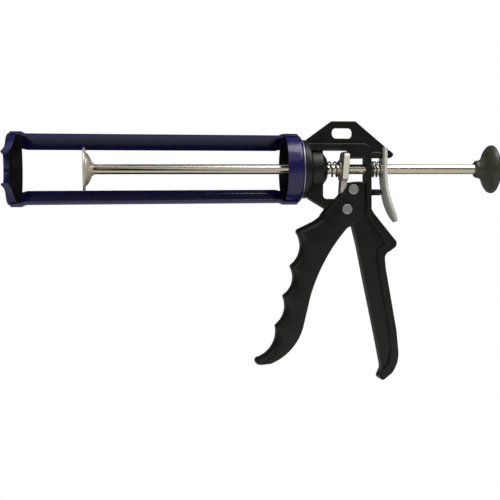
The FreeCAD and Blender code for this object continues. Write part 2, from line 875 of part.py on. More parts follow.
def make_pull_knob():
    """The mushroom knob on the rod's rear end."""
    body = new_body("pull_knob")
    section = new_sketch(body, "XZ_Plane")
    outline(section, [
        ("knob_front", "0"),
        ("knob_rear", "0"),
        ("knob_rear", "3", "22"),
        ("knob_front + 18.9", "15"),
        ("knob_front + 15.5", "knob_radius - 0.5", "4.2"),
        ("knob_front + 10.6", "knob_radius - 0.4"),
        ("knob_front + 8.6", "17.2"),
        ("knob_front + 6.4", "11.6", "-6"),
        ("knob_front + 2.5", "7.1"),
        ("knob_front", "knob_neck_radius"),
    ])
    revolve(body, section)
    socket = new_sketch(body, "YZ_Plane", shift="rod_rear + rod_clearance")
    hexagon(socket, "rod_width + 2 * rod_clearance")
    pocket(body, socket, "rod_rear - knob_front + 5", symmetric=False)


# ---------------------------------------------------------------- release lever

def make_release_lever():
    """A bent strip: a fork at the top over the tongue, the rod's hole, and a thumb pad."""
    body = new_body("release_lever")
    turn = "lever_bend_angle * 1deg"
    centre = "(lever_face + lever_bend_radius)"
    back_radius = "(lever_bend_radius - lever_gauge)"
    bend_reach = f"{centre} - lever_bend_radius * cos({turn})"
    bend_drop = f"lever_bend_start - lever_bend_radius * sin({turn})"
    back_reach = f"{centre} - {back_radius} * cos({turn})"
    back_drop = f"lever_bend_start - {back_radius} * sin({turn})"
    side = new_sketch(body, "XZ_Plane")
    outline(side, [
        ("lever_face", "lever_top"),
        ("lever_face", "lever_bend_start", "lever_bend_radius"),
        (bend_reach, bend_drop),
        (f"{bend_reach} + lever_tail * sin({turn})", f"{bend_drop} - lever_tail * cos({turn})"),
        (f"{back_reach} + lever_tail * sin({turn})", f"{back_drop} - lever_tail * cos({turn})"),
        (back_reach, back_drop, f"-{back_radius}"),
        ("lever_face + lever_gauge", "lever_bend_start"),
        ("lever_face + lever_gauge", "lever_top"),
    ])
    pad(body, side, "lever_foot_width + 8")

    # trim the wide strip to its front outline: narrow above, flared below, rounded at the end
    trim = new_sketch(body, "YZ_Plane")
    half_top = "lever_top_width / 2"
    half_foot = "lever_foot_width / 2"
    round_centre = f"{bend_drop} - lever_tail * cos({turn}) + {half_foot}"
    rectangle(trim, "-40", "40", "-70", "40")
    outline(trim, [
        (f"-{half_top}", "lever_top"),
        (f"-{half_top}", "-14"),
        (f"-{half_foot}", "-26"),
        (f"-{half_foot}", round_centre, half_foot),
        ("0", f"{round_centre} - {half_foot}", half_foot),
        (half_foot, round_centre),
        (half_foot, "-26"),
        (half_top, "-14"),
        (half_top, "lever_top"),
    ])
    pocket(body, trim, "1200")

    fork = new_sketch(body, "YZ_Plane")
    rectangle(fork, "-plate_width / 2 - 0.5", "plate_width / 2 + 0.5", "8.2", "lever_top + 5")
    pocket(body, fork, "1200")
    hex_bored(body, "loose_clearance")


# ---------------------------------------------------------------- build, check and write

make_front_cap()
make_strap("upper_strap", "-strap_far_angle")
make_strap("lower_strap", "180 - strap_near_angle")
make_rear_collar()
make_swivel()
make_front_bush()
make_rear_bush()
make_casting()
make_lever_stop()
make_rivet("trigger_pivot_pin", "pivot_reach", "pivot_height")
make_rivet("drive_pin", "drive_reach", "drive_height")
make_drive_roller()
make_trigger()
make_drive_plate()
SEAT_REAR = "(drive_face - 0.7)"
make_tube("spring_seat", f"{SEAT_REAR} - seat_gauge", SEAT_REAR, "5.2", "seat_radius")
make_spring("return_spring", POCKET_FRONT, f"{SEAT_REAR} - seat_gauge", "return_turns")
make_spring("lever_spring", "pillar_rear + rear_bush_lip", "lever_face", "lever_turns")
make_rod()
make_plunger_dish()
make_plunger_fixings()
make_pull_knob()
make_release_lever()

doc.recompute()
for feature in doc.Objects:
    assert not {"Invalid", "Error"} & set(feature.State), f"{feature.Label} failed: {feature.State}"
for node in NODES:
    assert not node.Shape.isNull() and node.Shape.isValid(), f"{node.Label} has no valid shape"
    assert node.Shape.Volume > 1, f"{node.Label} is empty"

os.makedirs("parts", exist_ok=True)
for node in NODES:
    node.Shape.exportStep(f"parts/{node.Label}.step")
    box = node.Shape.BoundBox
    print(f"{node.Label:18s} {node.Shape.Volume:9.0f} mm3  x {box.XMin:7.2f} {box.XMax:7.2f}"
          f"  y {box.YMin:6.2f} {box.YMax:6.2f}  z {box.ZMin:7.2f} {box.ZMax:7.2f}"
          f"  solids {len(node.Shape.Solids)}")
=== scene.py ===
"""Caulking gun: the looks of every piece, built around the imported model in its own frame.

+X runs along the rod back to the pull knob, +Z is up, and lengths are metres; sizes that are
written in millimetres are multiplied by MM.  Sections follow the gun from the cradle's front
cap back to the release lever, and end with the studio.
"""
import math

import bmesh
import bpy
import numpy as np
from mathutils import Matrix, Vector
from mathutils.geometry import delaunay_2d_cdt


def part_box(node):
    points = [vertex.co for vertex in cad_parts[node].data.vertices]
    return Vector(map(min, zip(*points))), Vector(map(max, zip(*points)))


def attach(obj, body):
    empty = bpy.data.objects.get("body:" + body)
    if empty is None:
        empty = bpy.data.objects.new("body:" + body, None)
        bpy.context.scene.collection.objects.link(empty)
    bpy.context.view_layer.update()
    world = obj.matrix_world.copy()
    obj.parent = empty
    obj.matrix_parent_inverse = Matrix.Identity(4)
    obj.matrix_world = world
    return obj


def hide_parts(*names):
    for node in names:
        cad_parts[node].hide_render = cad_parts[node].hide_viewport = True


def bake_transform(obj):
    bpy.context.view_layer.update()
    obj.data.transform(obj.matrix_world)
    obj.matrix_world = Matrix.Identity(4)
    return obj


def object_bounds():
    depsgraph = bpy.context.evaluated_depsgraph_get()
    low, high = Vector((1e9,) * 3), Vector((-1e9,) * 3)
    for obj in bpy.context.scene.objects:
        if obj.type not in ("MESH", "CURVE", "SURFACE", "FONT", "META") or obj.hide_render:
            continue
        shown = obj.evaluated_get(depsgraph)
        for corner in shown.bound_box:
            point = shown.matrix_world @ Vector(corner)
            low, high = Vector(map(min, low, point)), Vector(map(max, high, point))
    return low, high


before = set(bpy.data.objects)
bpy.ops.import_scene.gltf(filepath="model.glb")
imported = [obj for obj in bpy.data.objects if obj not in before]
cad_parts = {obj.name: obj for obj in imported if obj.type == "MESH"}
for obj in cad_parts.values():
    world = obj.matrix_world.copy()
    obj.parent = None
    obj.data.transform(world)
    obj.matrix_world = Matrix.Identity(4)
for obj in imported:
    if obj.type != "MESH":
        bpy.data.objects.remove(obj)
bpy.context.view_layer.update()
MM = 0.001


# ------------------------------------------------------------------ front cap
# A cup pressed from 1.2 mm steel sheet.  A flange stands forward all round the slot that takes
# the cartridge's nozzle, and two short lips flare off it.  It is powder coated in gloss violet.

def linear(hex_colour):
    """An sRGB hex colour as the linear RGBA that a shader takes."""
    shares = [int(hex_colour[start:start + 2], 16) / 255 for start in (1, 3, 5)]
    return [s / 12.92 if s <= 0.04045 else ((s + 0.055) / 1.055) ** 2.4 for s in shares] + [1.0]


def add(tree, kind, settings=None, links=None):
    """A node with its settings; each link names a socket and the (node, output) that feeds it."""
    node = tree.nodes.new(kind)
    for key, value in (settings or {}).items():
        if isinstance(key, int) or key in node.inputs:
            node.inputs[key].default_value = value
        else:
            setattr(node, key, value)
    for key, (source, output) in (links or {}).items():
        tree.links.new(source.outputs[output], node.inputs[key])
    return node


def new_finish(name, surface):
    """A material of one Principled shader with constant settings, and the Object coordinates for
    the patterns that are added to it."""
    material = bpy.data.materials.new(name)
    material.use_nodes = True
    tree = material.node_tree
    tree.nodes.clear()
    shader = add(tree, "ShaderNodeBsdfPrincipled", surface)
    add(tree, "ShaderNodeOutputMaterial", links={"Surface": (shader, "BSDF")})
    return material, tree, shader, (add(tree, "ShaderNodeTexCoord"), "Object")


def grain(size_mm):
    """The texture scale that makes a pattern repeat about every so many millimetres."""
    return 1 / (size_mm * MM)


def mottle(tree, shader, coords, size_mm, darker, lighter):
    """Base colour that drifts between two close shades over patches of the given size."""
    patches = add(tree, "ShaderNodeTexNoise", {"Scale": grain(size_mm), "Detail": 3.0},
                  {"Vector": coords})
    shades = add(tree, "ShaderNodeMix",
                 {"data_type": "RGBA", 6: linear(darker), 7: linear(lighter)},
                 {0: (patches, "Fac")})
    tree.links.new(shades.outputs[2], shader.inputs["Base Color"])
    return patches


def uneven_gloss(tree, shader, source, low, high):
    """Roughness that follows a pattern between two values."""
    spread = add(tree, "ShaderNodeMapRange", {"From Min": 0.3, "From Max": 0.7,
                                              "To Min": low, "To Max": high}, {"Value": source})
    tree.links.new(spread.outputs["Result"], shader.inputs["Roughness"])


def relief(tree, shader, source, depth_mm):
    """Bumps of a real depth on a surface."""
    bump = add(tree, "ShaderNodeBump", {"Distance": depth_mm * MM, "Strength": 1.0},
               {"Height": source})
    tree.links.new(bump.outputs["Normal"], shader.inputs["Normal"])


def fine_relief(tree, shader, coords, size_mm, detail, depth_mm):
    """Random bumps of a real size and depth on a surface."""
    bumps = add(tree, "ShaderNodeTexNoise", {"Scale": grain(size_mm), "Detail": detail},
                {"Vector": coords})
    relief(tree, shader, (bumps, "Fac"), depth_mm)


def violet_powder_coat():
    """Baked polyester powder: a deep gloss with a faint orange peel about 1.5 mm across."""
    material, tree, shader, coords = new_finish("violet_powder_coat", {
        "IOR": 1.5, "Coat Weight": 0.35, "Coat Roughness": 0.06})
    patches = mottle(tree, shader, coords, 9.0, "#18144a", "#1f1a58")
    uneven_gloss(tree, shader, (patches, "Fac"), 0.2, 0.3)
    fine_relief(tree, shader, coords, 1.5, 1.0, 0.02)
    return material


def painted_shade_coat():
    """The same powder inside the cups, coloured near black there as painted shade, and duller."""
    material, tree, shader, coords = new_finish("painted_shade_coat", {"IOR": 1.5})
    # Near-black colours: painted shade, not the powder's own colour.
    patches = mottle(tree, shader, coords, 4.0, "#08070c", "#100e1a")
    uneven_gloss(tree, shader, (patches, "Fac"), 0.42, 0.6)
    fine_relief(tree, shader, coords, 0.6, 2.0, 0.02)
    return material


def settled(piece):
    """Turn a piece's modifiers into plain mesh."""
    graph = bpy.context.evaluated_depsgraph_get()
    piece.data = bpy.data.meshes.new_from_object(piece.evaluated_get(graph))
    piece.modifiers.clear()
    return piece


def solid(name, bm):
    """A new object from a bmesh, smooth shaded, with every face outwards."""
    bmesh.ops.remove_doubles(bm, verts=bm.verts, dist=1e-7)
    bmesh.ops.recalc_face_normals(bm, faces=bm.faces)
    for face in bm.faces:
        face.smooth = True
    mesh = bpy.data.meshes.new(name)
    bm.to_mesh(mesh)
    bm.free()
    piece = bpy.data.objects.new(name, mesh)
    bpy.context.scene.collection.objects.link(piece)
    return piece


SHARP_CORNER = math.radians(32)
FLAT_FACE_CORNERS = 12
RIM_ROOM = 2.3
RIM_WIDTH = 3.5


def rounded(piece, radius_mm, rings=3, lengthwise=False):
    """Round every outer corner of a piece, as pressing, tumbling or a mould leaves it, or only
    those along the rod.  A flat rim narrower than RIM_ROOM radii gets smaller corners, so that
    some of its width is left, and no corner leaves the piece's own box."""
    radius = radius_mm * MM
    low, high = (Vector(find(v.co[k] for v in piece.data.vertices) for k in range(3))
                 for find in (min, max))
    bm = bmesh.new()
    bm.from_mesh(piece.data)
    weights = bm.edges.layers.float.new("bevel_weight_edge")
    width = {face: 2 * face.calc_area() / face.calc_perimeter() for face in bm.faces
             if len(face.verts) > FLAT_FACE_CORNERS}
    for edge in bm.edges:
        corner = edge.calc_face_angle_signed(0)
        room = min(width.get(face, 1.0) for face in edge.link_faces) / (RIM_ROOM * radius)
        run = (edge.verts[0].co - edge.verts[1].co).normalized()
        chosen = corner > SHARP_CORNER and (not lengthwise or abs(run.x) > 0.9)
        edge[weights] = min(1.0, room) if chosen else 0.0
        edge.smooth = abs(corner) < SHARP_CORNER
    rims = [face for face, across in width.items() if across < RIM_WIDTH * radius]
    bmesh.ops.triangulate(bm, faces=rims)
    bm.to_mesh(piece.data)
    bm.free()
    bevel = piece.modifiers.new("corners", "BEVEL")
    bevel.width = radius
    bevel.segments = rings
    bevel.limit_method = "WEIGHT"
    bevel.use_clamp_overlap = False
    bevel.harden_normals = True
    settled(piece)
    for vert in piece.data.vertices:
        vert.co = [min(max(c, least), most) for c, least, most in zip(vert.co, low, high)]
    return piece


def copy_of(node, name):
    """A welded copy of a CAD node's mesh, with its flat faces made whole."""
    bm = bmesh.new()
    bm.from_mesh(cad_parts[node].data)
    bmesh.ops.remove_doubles(bm, verts=bm.verts, dist=1e-6)
    bmesh.ops.dissolve_limit(bm, angle_limit=math.radians(0.4), verts=bm.verts, edges=bm.edges)
    return solid(name, bm)


def fit(piece, body, slot, material, *nodes):
    """Dress a piece in its finish and let it stand for its CAD nodes on their body."""
    piece.data.materials.clear()
    piece.data.materials.append(material)
    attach(piece, body)
    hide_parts(*nodes)


def paint_shade_inside(piece, material, facing, front=-1.0):
    """Paint shade on the faces that look at the rod's axis or along facing, as far forward as
    front: they get a second, near-black finish."""
    piece.data.materials.append(material)
    for face in piece.data.polygons:
        outward = Vector((0, face.center.y, face.center.z)).normalized()
        inside = face.normal.dot(outward) < -0.4 or face.normal.x * facing > 0.7
        if inside and face.center.x > front:
            face.material_index = 1


powder_coat = violet_powder_coat()
inner_painted_shade = painted_shade_coat()
cap = rounded(copy_of("front_cap", "cap_pressing"), 0.4)
fit(cap, "cradle", "violet_enamel", powder_coat, "front_cap")
# The inside of the cap gets painted shade, a near-black second finish.
paint_shade_inside(cap, inner_painted_shade, facing=1, front=-0.5 * MM)


# ------------------------------------------------------------------ cradle straps
# Two strips rolled to the cradle's curve and joggled out at their ends, where they are spot
# welded to the outside of the cap and the collar.  Their sheared edges are only just broken.

for node in ("upper_strap", "lower_strap"):
    strap = rounded(copy_of(node, f"{node}_strip"), 0.4)
    fit(strap, "cradle", "violet_enamel", powder_coat, node)


# ------------------------------------------------------------------ rear collar
# The cup at the cradle's rear end.  Its rear wall turns on the casting, so the cartridge can
# be rolled to bring its cut nozzle round; the outside is the glossiest face of the cradle.

collar = rounded(copy_of("rear_collar", "collar_pressing"), 0.35)
fit(collar, "cradle", "violet_enamel", powder_coat, "rear_collar")
# The inside of the collar gets painted shade, a near-black second finish.
paint_shade_inside(collar, inner_painted_shade, facing=-1)


# ------------------------------------------------------------------ swivel washer and retainer
# A zinc-plated washer shows as a pale line behind the collar.  The retainer inside is pressed on
# the casting's spigot and left with its black oxide; a plastic bush lines the barrel.

def zinc_plate(name, darker, lighter, roughness, spangle_mm, metallic=0.75):
    """Bright zinc plating: metal whose fine crystals scatter the light in a soft haze."""
    material, tree, shader, coords = new_finish(name, {"Metallic": metallic})
    patches = mottle(tree, shader, coords, spangle_mm, darker, lighter)
    uneven_gloss(tree, shader, (patches, "Fac"), roughness - 0.06, roughness + 0.08)
    fine_relief(tree, shader, coords, 0.5, 3.0, 0.012)
    return material


def black_oxide():
    """Steel blackened in a hot bath: a dark, slightly oily metal."""
    material, tree, shader, coords = new_finish("black_oxide", {"Metallic": 1.0})
    patches = mottle(tree, shader, coords, 3.0, "#1b1b1d", "#2a2a2c")
    uneven_gloss(tree, shader, (patches, "Fac"), 0.4, 0.55)
    return material


def moulded_nylon():
    """Black glass-filled nylon straight from the mould: satin, with a trace of warm brown."""
    material, tree, shader, coords = new_finish("moulded_nylon", {"IOR": 1.53})
    patches = mottle(tree, shader, coords, 5.0, "#0c0b0a", "#141310")
    uneven_gloss(tree, shader, (patches, "Fac"), 0.3, 0.42)
    fine_relief(tree, shader, coords, 0.4, 2.0, 0.012)
    return material


washer = rounded(copy_of("swivel_washer", "swivel_washer_disc"), 0.2)
fit(washer, "frame", "zinc_washer", zinc_plate("washer_zinc", "#a3a3ac", "#c3c3ca", 0.3, 2.5),
    "swivel_washer")
retainer = rounded(copy_of("cradle_retainer", "cradle_retainer_disc"), 0.3)
fit(retainer, "frame", "dark_steel", black_oxide(), "cradle_retainer")
nylon = moulded_nylon()
bush = rounded(copy_of("front_bush", "barrel_bush"), 0.25)
fit(bush, "frame", "black_plastic", nylon, "front_bush")


# ------------------------------------------------------------------ cast frame
# Flange, barrel, top arm, hanging plate, pillar and handle are one zinc-aluminium die casting.
# It is blasted, then sprayed satin black, which softens every corner by about a millimetre.

def satin_black_casting():
    """Thin satin lacquer over a blasted casting: black with a grey-olive sheen on its rounds."""
    material, tree, shader, coords = new_finish("satin_black_casting", {"IOR": 1.5})
    patches = mottle(tree, shader, coords, 14.0, "#0f0f0d", "#171612")
    uneven_gloss(tree, shader, (patches, "Fac"), 0.3, 0.4)
    fine_relief(tree, shader, coords, 0.35, 3.0, 0.02)
    return material


casting_black = satin_black_casting()
casting = rounded(copy_of("frame_casting", "cast_body"), 0.8, rings=3)
fit(casting, "frame", "black_casting", casting_black, "frame_casting")


# ------------------------------------------------------------------ rear bush and lever stop
# A steel bush guides the rod through the pillar, and a round-ended stub below it stops the
# release lever.  The stub is a nylon peg pushed into the pillar.

rear_bush = rounded(copy_of("rear_bush", "pillar_bush"), 0.25)
fit(rear_bush, "frame", "black_plastic", nylon, "rear_bush")
peg = copy_of("lever_stop", "lever_stop_peg")
fit(peg, "frame", "black_plastic", nylon, "lever_stop")


# ------------------------------------------------------------------ trigger
# A second black casting, astride the frame's web on two cheeks.  The front is worked into four
# finger grooves whose edges roll over softly, while the sides and the back stay flat.

def walk(corners, step=0.9):
    """Points round a closed outline with the material on its left, and each point's corner.
    A corner is (x, z) in millimetres, or (x, z, radius) when an arc leaves it: a positive
    radius bulges out of the material and a negative one bites into it."""
    points = []
    for index, corner in enumerate(corners):
        start = Vector(corner[:2])
        end = Vector(corners[(index + 1) % len(corners)][:2])
        chord = end - start
        count = max(1, round(chord.length / step))
        if len(corner) == 2:
            points += [(start + chord * k / count, index) for k in range(count)]
            continue
        radius = abs(corner[2])
        side = 1 if corner[2] > 0 else -1
        right = Vector((chord.y, -chord.x)).normalized()
        depth = math.sqrt(max(radius ** 2 - chord.length_squared / 4, 0))
        centre = (start + end) / 2 - right * depth * side
        turn = 2 * math.asin(min(1, chord.length / 2 / radius)) * side
        arm = start - centre
        count = max(count, round(abs(turn) / math.radians(12)))
        points += [(centre + Matrix.Rotation(turn * k / count, 2) @ arm, index)
                   for k in range(count)]
    return points


def rolled_plate(name, points, half_width, rolls, rings=6):
    """A plate between y = -half_width and +half_width whose sides roll over into its edge.
    points is the outline in millimetres and rolls gives the rolling radius at each point."""
    edge = np.array([tuple(point) for point in points])
    rolls = np.array(rolls)
    ahead = np.roll(edge, -1, axis=0) - np.roll(edge, 1, axis=0)
    inward = np.stack([-ahead[:, 1], ahead[:, 0]], axis=1)
    inward /= np.linalg.norm(inward, axis=1)[:, None]
    flat, heights = list(map(tuple, edge)), list(half_width - rolls)
    for ring in range(1, rings + 1):
        angle = math.pi / 2 * ring / rings
        places = edge + inward * (rolls * (1 - math.cos(angle)))[:, None]
        wanted = half_width - rolls * (1 - math.sin(angle))
        away = np.linalg.norm(places[:, None] - edge[None], axis=2)
        short = np.clip(rolls[None] - away, 0, None)
        least = (half_width - rolls[None] + np.sqrt(rolls[None] ** 2 - short ** 2)).min(axis=1)
        for place, height, limit in zip(places, wanted, least):
            if height < limit + 0.04:
                flat.append(tuple(place))
                heights.append(height)
    count = len(edge)
    rim = [(k, (k + 1) % count) for k in range(count)]
    verts, _, faces, origins, _, _ = delaunay_2d_cdt([Vector(p) for p in flat], rim, [], 2, 1e-5)
    bm = bmesh.new()
    sides = []
    for sign in (-1, 1):
        side = []
        for vert, origin in zip(verts, origins):
            height = heights[origin[0]] if origin else half_width
            side.append(bm.verts.new((vert.x * MM, sign * height * MM, vert.y * MM)))
        for face in faces:
            bm.faces.new([side[k] for k in face])
        sides.append(side)
    placed = {origin[0]: k for k, origin in enumerate(origins) if origin}
    for start, end in rim:
        a, b = placed[start], placed[end]
        bm.faces.new((sides[0][a], sides[0][b], sides[1][b], sides[1][a]))
    return solid(name, bm)


def cut_away(piece, points, half_width):
    """Cut a straight-sided prism, across the gun, out of a piece."""
    bm = bmesh.new()
    near = [bm.verts.new((p.x * MM, -half_width * MM, p.y * MM)) for p in points]
    far = [bm.verts.new((p.x * MM, half_width * MM, p.y * MM)) for p in points]
    bm.faces.new(near)
    bm.faces.new(far)
    for k in range(len(points)):
        after = (k + 1) % len(points)
        bm.faces.new((near[k], near[after], far[after], far[k]))
    cutter = solid("cutter", bm)
    cut = piece.modifiers.new("cut", "BOOLEAN")
    cut.operation = "DIFFERENCE"
    cut.solver = "EXACT"
    cut.object = cutter
    settled(piece)
    bpy.data.objects.remove(cutter)


TRIGGER_WIDTH = 19.0
CHEEK_GAP = 13.0
FINGER_ROLL = 5.4
EDGE_ROLL = 1.1
trigger_front = [
    (246, -38), (240.4, -41.9), (228.4, -47.6, 3), (226.6, -51, -18.8),
    (222.6, -76.2, 2.4), (221.8, -79, -16.5), (216.6, -100.2, 2.4), (215.8, -103, -18.6),
    (210, -124.2, 2.4), (209.4, -127, -21.6), (194.2, -150.6, 2.9),
]
trigger_back = [
    (196.2, -156), (204.4, -155.1, 43.6), (230.8, -125.9), (236.6, -101.9, -144),
    (266.6, -47.4), (276.4, -41.9), (280.2, -34.3), (281.2, -12.6, 2.6), (278.8, -10.1),
    (273.4, -10.1, 8), (265.8, -14.6), (261.8, -21), (251, -31.7),
]
outline = walk(trigger_front + trigger_back)
rolls = np.array([FINGER_ROLL if corner < len(trigger_front) else EDGE_ROLL
                  for point, corner in outline])
for smoothing in range(6):
    rolls = (np.roll(rolls, 1) + rolls + np.roll(rolls, -1)) / 3
trigger = rolled_plate("trigger_casting", [point for point, corner in outline],
                       TRIGGER_WIDTH / 2, rolls)
fork = [Vector(corner) for corner in (
    (246.5, -35), (253.5, -41.5), (262, -48.9), (290, -50.9), (290, 0), (246.5, 0))]
cut_away(trigger, fork, CHEEK_GAP / 2)
fit(trigger, "trigger", "black_casting", casting_black, "trigger")


# ------------------------------------------------------------------ pivot pin and drive pin
# Two steel pins cross the cheeks and are peened over at both ends.  The blow leaves a dull,
# dimpled face inside a rim that is bright from rubbing.

def peened_steel():
    """Soft steel rivet heads: matt, with hammer dimples about a millimetre across."""
    material, tree, shader, coords = new_finish("peened_steel", {"Metallic": 0.6})
    patches = mottle(tree, shader, coords, 0.9, "#8e8e89", "#b8b8b2")
    uneven_gloss(tree, shader, (patches, "Fac"), 0.4, 0.58)
    dimples = add(tree, "ShaderNodeTexVoronoi", {"Scale": grain(1.1)}, {"Vector": coords})
    relief(tree, shader, (dimples, "Distance"), 0.09)
    return material


def lathe(name, outline, steps=96):
    """Turn a closed outline of (x, radius) points, in millimetres, about the rod's axis."""
    bm = bmesh.new()
    rows = []
    for step in range(steps):
        angle = 2 * math.pi * step / steps
        rows.append([bm.verts.new((x * MM, r * MM * math.sin(angle), r * MM * math.cos(angle)))
                     for x, r in outline])
    for step in range(steps):
        row, after = rows[step], rows[(step + 1) % steps]
        for k in range(len(outline)):
            j = (k + 1) % len(outline)
            if outline[k][1] > 0 or outline[j][1] > 0:
                bm.faces.new((row[k], row[j], after[j], after[k]))
    bmesh.ops.remove_doubles(bm, verts=bm.verts, dist=1e-7)
    return solid(name, bm)


def rivet(node, name):
    """A pin with two peened heads, each a low dome inside a raised rim."""
    low, high = (corner / MM for corner in map(Vector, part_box(node)))
    centre = (low + high) / 2
    reach, head = high.y, (high.x - low.x) / 2
    half = [(0, 0), (reach - 0.2, 0), (reach - 0.22, head * 0.45), (reach - 0.42, head * 0.66),
            (reach - 0.38, head * 0.74), (reach - 0.04, head * 0.84), (reach - 0.08, head * 0.92),
            (reach - 0.34, head * 0.99), (reach - 0.7, head), (reach - 0.93, head * 0.97),
            (reach - 0.95, 2.45)]
    section = half[1:] + [(-x, r) for x, r in reversed(half[1:])]
    piece = lathe(name, section, steps=64)
    across = Matrix.Translation(centre * MM) @ Matrix.Rotation(math.pi / 2, 4, "Z")
    piece.data.transform(across)
    return piece


rivet_steel = peened_steel()
fit(rivet("trigger_pivot_pin", "pivot_rivet"), "frame", "rivet_steel", rivet_steel,
    "trigger_pivot_pin")
fit(rivet("drive_pin", "drive_rivet"), "trigger", "rivet_steel", rivet_steel, "drive_pin")


# ------------------------------------------------------------------ drive roller, plate and seat
# The trigger pushes a sawn steel plate forward, and it leans and grips the rod.  Plate, roller
# and the spring's seat washer are zinc plated; the plate's sheared edges are rougher and paler.

plated = zinc_plate("bright_zinc", "#a9a69a", "#cdcabf", 0.3, 3.0)
roller = rounded(copy_of("drive_roller", "drive_roller_ring"), 0.3)
fit(roller, "trigger", "bright_steel", plated, "drive_roller")
plate = rounded(copy_of("drive_plate", "drive_plate_blank"), 0.5)
fit(plate, "drive_plate", "bright_steel", plated, "drive_plate")
sheared = zinc_plate("sheared_zinc", "#e6e0d0", "#faf5e8", 0.55, 1.2, metallic=0.1)
plate.data.materials.append(sheared)
for face in plate.data.polygons:
    if abs(face.normal.y) > 0.8:
        face.material_index = 1
seat = rounded(copy_of("spring_seat", "spring_seat_ring"), 0.3)
fit(seat, "drive_plate", "bright_steel", plated, "spring_seat")


# ------------------------------------------------------------------ return and lever springs
# Hard-drawn wire coiled round the rod, with the end coils closed up.  One pushes the drive
# plate back and the other holds the release lever off, so each spans the joint that works it.

def spring_wire():
    """Drawn and oiled wire: grey steel with fine lines along it."""
    material, tree, shader, coords = new_finish("spring_wire", {"Metallic": 1.0})
    patches = mottle(tree, shader, coords, 1.6, "#6f6c62", "#a8a496")
    uneven_gloss(tree, shader, (patches, "Fac"), 0.24, 0.36)
    return material


def coil_tree(material):
    """Geometry nodes for a coil along X: a spiral, closed up at its ends, swept by a wire."""
    tree = bpy.data.node_groups.new("coil", "GeometryNodeTree")
    tree.interface.new_socket("Geometry", in_out="OUTPUT", socket_type="NodeSocketGeometry")
    for name in ("Turns", "Coil Radius", "Wire Radius", "Start", "Length", "Closing"):
        tree.interface.new_socket(name, in_out="INPUT", socket_type="NodeSocketFloat")
    sizes = add(tree, "NodeGroupInput")
    spiral = add(tree, "GeometryNodeCurveSpiral", {"Resolution": 40, "Height": 0.0}, {
        "Rotations": (sizes, "Turns"), "Start Radius": (sizes, "Coil Radius"),
        "End Radius": (sizes, "Coil Radius")})
    share = add(tree, "GeometryNodeSplineParameter")
    full_turn = add(tree, "ShaderNodeMath", {"operation": "MULTIPLY", 1: 2 * math.pi},
                    {0: (share, "Factor")})
    wave = add(tree, "ShaderNodeMath", {"operation": "SINE"}, {0: (full_turn, 0)})
    closed = add(tree, "ShaderNodeMath", {"operation": "MULTIPLY"},
                 {0: (wave, 0), 1: (sizes, "Closing")})
    even = add(tree, "ShaderNodeMath", {"operation": "SUBTRACT"},
               {0: (share, "Factor"), 1: (closed, 0)})
    along = add(tree, "ShaderNodeMath", {"operation": "MULTIPLY_ADD"},
                {0: (even, 0), 1: (sizes, "Length"), 2: (sizes, "Start")})
    place = add(tree, "GeometryNodeInputPosition")
    parts = add(tree, "ShaderNodeSeparateXYZ", links={0: (place, "Position")})
    turned = add(tree, "ShaderNodeCombineXYZ",
                 links={"X": (along, 0), "Y": (parts, "Y"), "Z": (parts, "X")})
    laid = add(tree, "GeometryNodeSetPosition",
               links={"Geometry": (spiral, "Curve"), "Position": (turned, "Vector")})
    ring = add(tree, "GeometryNodeCurvePrimitiveCircle", {"Resolution": 12},
               {"Radius": (sizes, "Wire Radius")})
    swept = add(tree, "GeometryNodeCurveToMesh", {"Fill Caps": True},
                {"Curve": (laid, "Geometry"), "Profile Curve": (ring, "Curve")})
    smooth = add(tree, "GeometryNodeSetShadeSmooth", links={"Geometry": (swept, "Mesh")})
    real = add(tree, "GeometryNodeRealizeInstances", links={"Geometry": (smooth, "Geometry")})
    dressed = add(tree, "GeometryNodeSetMaterial", {"Material": material},
                  {"Geometry": (real, "Geometry")})
    add(tree, "NodeGroupOutput", links={"Geometry": (dressed, "Geometry")})
    return tree


def grown(name, tree, sizes):
    """Run a geometry node tree with its named sizes and keep the result as plain mesh."""
    piece = bpy.data.objects.new(name, bpy.data.meshes.new(name))
    bpy.context.scene.collection.objects.link(piece)
    modifier = piece.modifiers.new("grow", "NODES")
    modifier.node_group = tree
    for item in tree.interface.items_tree:
        if item.in_out == "INPUT" and item.name in sizes:
            modifier[item.identifier] = sizes[item.name]
    return settled(piece)


WIRE_RADIUS = 0.6 * MM
COIL_RADIUS = 6.0 * MM
wire_steel = spring_wire()
coils = coil_tree(wire_steel)
nose_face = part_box("front_bush")[1][0]
seat_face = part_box("spring_seat")[0][0]
bush_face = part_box("rear_bush")[1][0]
lever_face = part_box("release_lever")[0][0]
springs = (
    ("return_spring", "return_coil", nose_face, seat_face, 4.0, "drive_plate"),
    ("lever_spring", "lever_coil", bush_face, lever_face, 3.0, "release_lever"),
)
for node, name, front, rear, turns, follower in springs:
    coil = grown(name, coils, {
        "Turns": turns, "Coil Radius": COIL_RADIUS, "Wire Radius": WIRE_RADIUS,
        "Start": front + WIRE_RADIUS, "Length": rear - front - 2 * WIRE_RADIUS, "Closing": 0.05})
    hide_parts(node)
    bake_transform(coil)


# ------------------------------------------------------------------ rod
# A bright-drawn hexagonal bar, 7.9 mm across its flats.  Drawing through the die leaves its
# corners just rounded and draws faint lines along the flats.

def bright_drawn_steel():
    """Bright drawn bar, oiled: warm, mirror-like, with hair lines along X."""
    material, tree, shader, coords = new_finish("bright_drawn_steel", {"Metallic": 1.0})
    drawn = (add(tree, "ShaderNodeMapping", {"Scale": (0.015, 1.0, 1.0)}, {"Vector": coords}),
             "Vector")
    lines = mottle(tree, shader, drawn, 0.9, "#d6ccb2", "#ece5d2")
    uneven_gloss(tree, shader, (lines, "Fac"), 0.15, 0.2)
    fine_relief(tree, shader, drawn, 0.3, 2.0, 0.0006)
    return material


rod = rounded(copy_of("rod", "hexagonal_rod"), 1.5, rings=8, lengthwise=True)
fit(rod, "rod", "bright_rod", bright_drawn_steel(), "rod")


